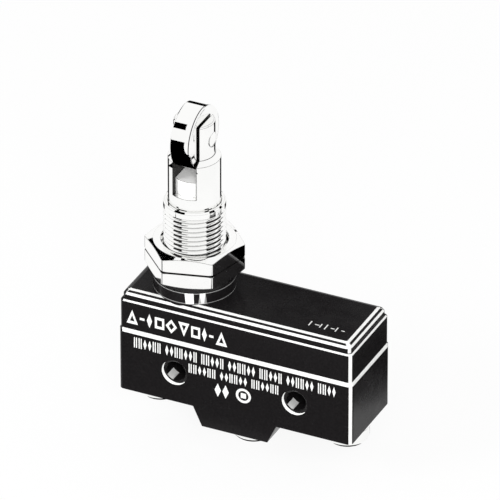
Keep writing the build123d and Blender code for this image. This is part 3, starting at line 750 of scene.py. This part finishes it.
def seen_rays(tree):
    """1 for what the camera, reflections and clear materials see, and 0 for what only lights the object."""
    path = tree.nodes.new("ShaderNodeLightPath")
    seen = path.outputs["Is Camera Ray"]
    for ray in ("Is Glossy Ray", "Is Transmission Ray"):
        either = tree.nodes.new("ShaderNodeMath")
        either.operation = "MAXIMUM"
        tree.links.new(seen, either.inputs[0])
        tree.links.new(path.outputs[ray], either.inputs[1])
        seen = either.outputs[0]
    return seen


def floor():
    """A plain white floor: mostly its own white, with a little shade where the object stands."""
    z = FLOOR_Z - FLOOR_GAP
    sides = ((-1, -1), (1, -1), (1, 1), (-1, 1))
    mesh = bpy.data.meshes.new("floor")
    mesh.from_pydata([(x * FLOOR_HALF, y * FLOOR_HALF, z) for x, y in sides], [], [(0, 1, 2, 3)])
    material = bpy.data.materials.new("floor_white")
    material.use_nodes = True
    tree = material.node_tree
    shader = tree.nodes["Principled BSDF"]
    shader.inputs["Base Color"].default_value = (0.85, 0.85, 0.85, 1)
    shader.inputs["Roughness"].default_value = 0.9
    shader.inputs["Specular IOR Level"].default_value = 0.0
    glow = tree.nodes.new("ShaderNodeEmission")
    glow.inputs["Color"].default_value = (1, 1, 1, 1)
    share = tree.nodes.new("ShaderNodeMath")
    share.operation = "MULTIPLY"
    share.inputs[1].default_value = FLOOR_OWN_WHITE
    mix = tree.nodes.new("ShaderNodeMixShader")
    output = tree.nodes["Material Output"]
    tree.links.new(seen_rays(tree), share.inputs[0])
    tree.links.new(share.outputs[0], mix.inputs["Fac"])
    tree.links.new(shader.outputs[0], mix.inputs[1])
    tree.links.new(glow.outputs[0], mix.inputs[2])
    tree.links.new(mix.outputs[0], output.inputs["Surface"])
    mesh.materials.append(material)
    obj = bpy.data.objects.new("floor", mesh)
    bpy.context.scene.collection.objects.link(obj)


def world():
    """White for what the camera and reflections see, and a plain soft fill on the object."""
    made = bpy.data.worlds.new("studio")
    bpy.context.scene.world = made
    made.use_nodes = True
    tree = made.node_tree
    background = tree.nodes["Background"]
    background.inputs["Color"].default_value = (1, 1, 1, 1)
    strength = tree.nodes.new("ShaderNodeMapRange")
    strength.inputs["To Min"].default_value = 0.7
    strength.inputs["To Max"].default_value = 1.0
    tree.links.new(seen_rays(tree), strength.inputs["Value"])
    tree.links.new(strength.outputs["Result"], background.inputs["Strength"])


def area_lamp(name, direction, distance, size, power):
    """A round lamp that lights the object and doesn't show in its reflections."""
    data = bpy.data.lights.new(name, "AREA")
    data.shape = "DISK"
    data.size = size
    data.energy = power
    lamp = bpy.data.objects.new(name, data)
    way = Vector(direction).normalized()
    lamp.location = LAMP_AIM + way * distance
    lamp.rotation_mode = "QUATERNION"
    lamp.rotation_quaternion = way.to_track_quat("Z", "Y")
    lamp.visible_glossy = False
    bpy.context.scene.collection.objects.link(lamp)


BLACK_CARD = black_material("black_card")


def reflection_only(obj):
    """A studio card that shows only in reflections."""
    for flag in ("camera", "diffuse", "transmission", "volume_scatter", "shadow"):
        setattr(obj, "visible_" + flag, False)
    bpy.context.scene.collection.objects.link(obj)


def card(name, corners):
    """A black card with its corners at (x, y, z) places in millimetres."""
    verts = [tuple(v * MM for v in corner) for corner in corners]
    mesh = bpy.data.meshes.new(name)
    mesh.from_pydata(verts, [], [tuple(range(len(corners)))])
    mesh.materials.append(BLACK_CARD)
    reflection_only(bpy.data.objects.new(name, mesh))


def floor_card(name, corners):
    """A card lying just above the floor, from its (x, y) corners in millimetres."""
    card(name, [(x, y, FLOOR_Z / MM + CARD_LIFT) for x, y in corners])


def floor_sector(name, centre, near, far, start, end):
    """A card on the floor shaped as part of a ring, between two radii and two angles.

    The ring lies round an upright axis at an X place. Sizes are in millimetres and degrees."""
    steps = 24
    angles = [math.radians(start + (end - start) * k / steps) for k in range(steps + 1)]
    outer = [(centre + far * math.cos(angle), far * math.sin(angle)) for angle in angles]
    inner = [(centre + near * math.cos(angle), near * math.sin(angle)) for angle in reversed(angles)]
    floor_card(name, outer + inner)


def ring_card(name, radius, edges):
    """An upright card bent round the plunger's axis.

    Its edges are (polar degrees, low z, high z) from end to end."""
    verts, faces = [], []
    for polar, low, high in edges:
        x = PLUNGER_X / MM + radius * math.cos(math.radians(polar))
        y = radius * math.sin(math.radians(polar))
        verts += [(x * MM, y * MM, low * MM), (x * MM, y * MM, high * MM)]
    for i in range(len(edges) - 1):
        faces.append((2 * i, 2 * i + 2, 2 * i + 3, 2 * i + 1))
    mesh = bpy.data.meshes.new(name)
    mesh.from_pydata(verts, [], faces)
    mesh.materials.append(BLACK_CARD)
    reflection_only(bpy.data.objects.new(name, mesh))


def screw_cards():
    """A black disc under each terminal screw's head, and a sector on the floor behind it."""
    screws = (
        ("left", 26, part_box("screw_common")),
        ("middle", 14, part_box("screw_normally_open")),
        ("right", 26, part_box("screw_normally_closed")),
    )
    for name, reach, (low, high) in screws:
        centre = (low.x + high.x) / 2 / MM
        floor_sector("card_under_" + name, centre, 0.1, 4.1, 0, 360)
        floor_sector("card_screw_" + name, centre, 4.0, reach, 79, 151)


def cards():
    """Black cards that give the bright metal and the gloss black their dark reflections."""
    axis = PLUNGER_X / MM
    floor_card("card_front", [(-75, -60), (40, -60), (40, -17), (-75, -17)])
    floor_sector("card_front_left", axis, 70, 80, 209, 250)
    floor_card("card_end", [(39, 12), (46, 6), (62, 40), (44, 64), (30, 34), (33, 20)])
    floor_sector("card_side", axis, 52, 79, -22, 82)
    floor_sector("card_behind", axis, 40, 130, 76, 155)
    floor_sector("card_ear", axis, 103, 122, 70.5, 80)
    card("card_tread_low", [(-26, -12, 40.3), (-14.3, -12, 40.3), (-14.0, -12, 50), (-26, -12, 50)])
    card("card_slot", [(-17, -6.7, 43.7), (-9.7, -6.7, 43.7), (-9.7, -2.6, 41.9), (-17, -2.6, 41.9)])
    card("card_tread_high", [
        (-26, -10.65, 57.06), (-14.9, -10.65, 57.06), (-14.9, -7.73, 59.6), (-26, -7.73, 59.6),
    ])
    card("card_roof", [
        (-80, 110, 45), (-23, 110, 45), (-23, 110, 140), (-53, 110, 140), (-53, 110, 92), (-80, 110, 92),
    ])
    ring_card("card_nut_right", 110, [(24, 50, 96), (36, 50, 96), (50, 50, 96)])
    ring_card("card_roller_edge", 60, [
        (-24, 48, 66), (-20, 46, 72), (-8, 62, 90), (0, 72, 98), (14, 80, 100), (24, 84, 100),
    ])
    ring_card("card_nut_left", 80, [
        (127, 35, 60), (133, 42, 110), (140, 60, 180), (150, 55, 190), (158, 50, 180),
    ])
    screw_cards()


def camera():
    """The photograph's view, from far off with a long lens."""
    data = bpy.data.cameras.new("camera")
    data.sensor_width = SENSOR
    data.lens = SENSOR * VIEW_DISTANCE / VIEW_WIDTH
    data.clip_start, data.clip_end = 0.1, 10.0
    eye = bpy.data.objects.new("camera", data)
    bpy.context.scene.collection.objects.link(eye)
    bpy.context.scene.camera = eye
    level = math.cos(VIEW_ELEVATION)
    back = Vector((math.sin(VIEW_AZIMUTH) * level, -math.cos(VIEW_AZIMUTH) * level, math.sin(VIEW_ELEVATION)))
    right = Vector((math.cos(VIEW_AZIMUTH), math.sin(VIEW_AZIMUTH), 0))
    up = back.cross(right)
    eye.location = back * VIEW_DISTANCE + right * VIEW_RIGHT + up * VIEW_UP
    eye.rotation_mode = "QUATERNION"
    eye.rotation_quaternion = back.to_track_quat("Z", "Y")


bpy.context.scene.view_settings.view_transform = "Standard"
camera()
floor()
world()
area_lamp("key_lamp", (-0.6, -0.6, 0.5), distance=0.9, size=0.4, power=3)
area_lamp("fill_lamp", (0.5, -0.75, 0.55), distance=1.0, size=0.3, power=4)
area_lamp("front_lamp", (0.2, -0.9, 0.42), distance=1.0, size=0.3, power=2)
cards()
